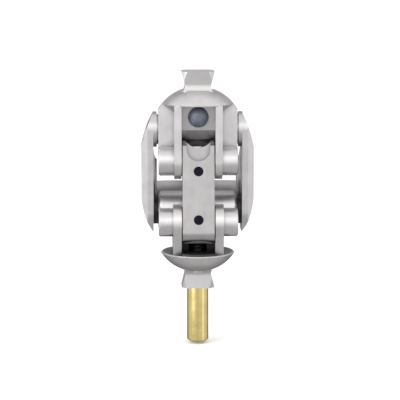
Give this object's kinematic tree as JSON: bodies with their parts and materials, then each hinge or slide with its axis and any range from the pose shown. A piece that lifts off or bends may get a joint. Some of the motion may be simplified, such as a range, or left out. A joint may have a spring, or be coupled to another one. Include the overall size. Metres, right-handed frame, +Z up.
{
  "type": "prosthetic knee joint",
  "caption": "Four-bar polycentric prosthetic knee joint with two links, male pyramid adapters above and below, a rubber flexion bumper and a spring tube for extension assist.",
  "frame": {"origin": "centre of the top face of the upper male pyramid", "axes": "+Z up along the load line, +Y anterior, +X to the right seen from behind"},
  "size_m": [0.0674, 0.0501, 0.163],
  "materials": {
    "cast_steel": "satin blasted casting",
    "ground_steel": "ground",
    "black_steel": "black oxide",
    "bronze": "sintered",
    "brass": "polished",
    "black_plastic": "moulded",
    "rubber": "smooth"
  },
  "bodies": {
    "head": {"head_body": "cast_steel", "flexion_bumper": "rubber", "upper_anterior_bush_left": "bronze", "upper_anterior_bush_right": "bronze", "upper_posterior_bush_left": "bronze", "upper_posterior_bush_right": "bronze"},
    "posterior_link": {"posterior_link": "cast_steel", "upper_set_screw": "black_steel", "lower_set_screw": "black_steel", "upper_posterior_axle": "ground_steel", "lower_posterior_axle": "ground_steel", "upper_thrust_washer_left": "bronze", "upper_thrust_washer_right": "bronze", "lower_thrust_washer_left": "bronze", "lower_thrust_washer_right": "bronze"},
    "anterior_link": {"anterior_link": "cast_steel", "upper_anterior_axle": "ground_steel", "upper_axle_screw_left": "ground_steel", "upper_axle_screw_right": "ground_steel", "lower_axle_screw_left": "ground_steel", "lower_axle_screw_right": "ground_steel", "upper_spacer_left": "ground_steel", "upper_spacer_right": "ground_steel", "lower_spacer_left": "black_plastic", "lower_spacer_right": "black_plastic"},
    "base": {"base_body": "cast_steel", "lower_anterior_axle": "ground_steel", "lower_anterior_bush_left": "bronze", "lower_anterior_bush_right": "bronze", "lower_posterior_bush_left": "bronze", "lower_posterior_bush_right": "bronze", "spring_guide": "black_plastic", "spring_tube": "brass", "preload_adjuster": "brass", "extension_spring": "black_steel"},
    "plunger": {"spring_plunger": "black_plastic"}
  },
  "joints": [
    {"name": "knee_flexion", "type": "hinge", "parent": "head", "child": "posterior_link", "pos_m": [0, -0.007, -0.0531], "axis": [-1, 0, 0], "range_deg": [0, 127.14], "stiffness_Nm_per_rad": 0.6, "springref_deg": -28.65},
    {"name": "base_turn", "type": "hinge", "parent": "posterior_link", "child": "base", "pos_m": [0, -0.011, -0.0893], "axis": [-1, 0, 0], "range_deg": [-7.14, 0]},
    {"name": "anterior_link_swing", "type": "hinge", "parent": "head", "child": "anterior_link", "pos_m": [0, 0.007, -0.0355], "axis": [-1, 0, 0], "range_deg": [0, 78.54]},
    {"name": "plunger_travel", "type": "slide", "parent": "base", "child": "plunger", "axis": [0, 0, -1], "range_m": [0, 0.001], "deforming": ["extension_spring"]}
  ],
  "couplings": [
    {"joint": "base_turn", "follows": "knee_flexion", "ratio": -0.056167},
    {"joint": "anterior_link_swing", "follows": "knee_flexion", "ratio": 0.61772},
    {"joint": "plunger_travel", "follows": "knee_flexion", "m_per_rad": 0.00045065}
  ]
}
